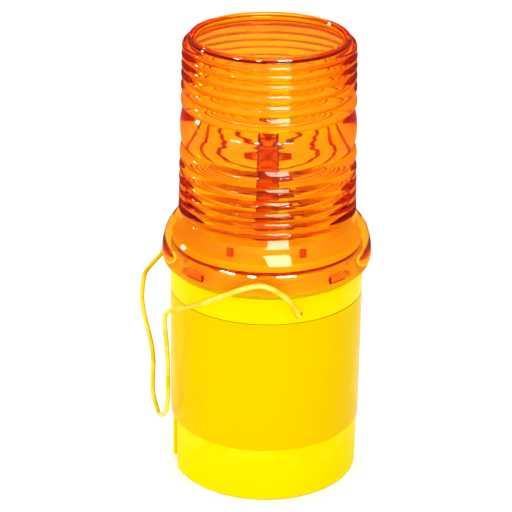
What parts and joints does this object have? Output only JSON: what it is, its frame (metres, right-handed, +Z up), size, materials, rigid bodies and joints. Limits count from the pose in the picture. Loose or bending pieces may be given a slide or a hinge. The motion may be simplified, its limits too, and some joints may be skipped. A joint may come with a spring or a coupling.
{
  "type": "barrier hazard lamp",
  "caption": "Battery hazard lamp for roadworks barriers: round yellow case with reflective band, ribbed amber all-round lens on a bayonet, swinging wire hanger.",
  "frame": {"origin": "on the round case's axis, at its flat underside", "axes": "+Z up along the case's axis; the hanger swings about Y and hangs on the -X side; the flat back with its rail faces 160.5 degrees round from +X towards +Y"},
  "size_m": [0.1175, 0.1192, 0.2382],
  "materials": {
    "case_yellow": "moulded yellow polypropylene, satin",
    "band_yellow": "yellow retroreflective sheet",
    "lens_amber": "clear amber acrylic, polished",
    "wire_yellow": "spring wire with a yellow plastic coat",
    "steel": "bright zinc plate",
    "rubber_red": "dark red seal rubber",
    "battery_blue": "plain printed jacket, no marks",
    "battery_black": "black plastic",
    "brass": "stamped brass",
    "deck_yellow": "orange-yellow moulded plastic",
    "board_tan": "brown paper-laminate board",
    "parts_dark": "black moulded component bodies",
    "parts_tan": "tan component bodies",
    "lamp_clear": "amber-tinted clear resin",
    "foam_grey": "closed-cell foam"
  },
  "bodies": {
    "case_body": {"case": "case_yellow", "reflective_band": "band_yellow", "battery_pad": "foam_grey", "battery_jacket": "battery_blue", "battery_top": "battery_black", "terminal_spring_centre": "steel", "terminal_spring_corner": "steel"},
    "module": {"module_deck": "deck_yellow", "gasket": "rubber_red", "contact_ring": "brass", "contact_disc": "brass", "circuit_board": "board_tan", "lamp_tube": "lamp_clear", "lamp_dome": "lamp_clear", "daylight_sensor": "parts_tan", "capacitor": "parts_dark", "flasher_chip": "parts_dark", "transistor": "parts_dark", "resistor_a": "parts_tan", "resistor_b": "parts_tan", "board_screw_a": "steel", "board_screw_b": "steel", "board_screw_c": "steel", "switch_body": "parts_dark"},
    "mode_switch": {"switch_slider": "case_yellow"},
    "lens_body": {"lens": "lens_amber"},
    "hanger": {"hanger_wire": "wire_yellow", "hanger_clip_front": "steel", "hanger_clip_back": "steel"}
  },
  "joints": [
    {"name": "head_lift", "type": "slide", "parent": "case_body", "child": "module", "axis": [0, 0, 1], "range_m": [0, 0.04]},
    {"name": "lens_twist", "type": "hinge", "parent": "module", "child": "lens_body", "pos_m": [0, 0, 0.123], "axis": [0, 0, 1], "range_deg": [0, 25]},
    {"name": "mode_slide", "type": "slide", "parent": "module", "child": "mode_switch", "axis": [0, 1, 0], "range_m": [0, 0.007]},
    {"name": "hanger_swing", "type": "hinge", "parent": "case_body", "child": "hanger", "pos_m": [0, 0, 0.1064], "axis": [0, 1, 0], "range_deg": [-5, 10]}
  ]
}
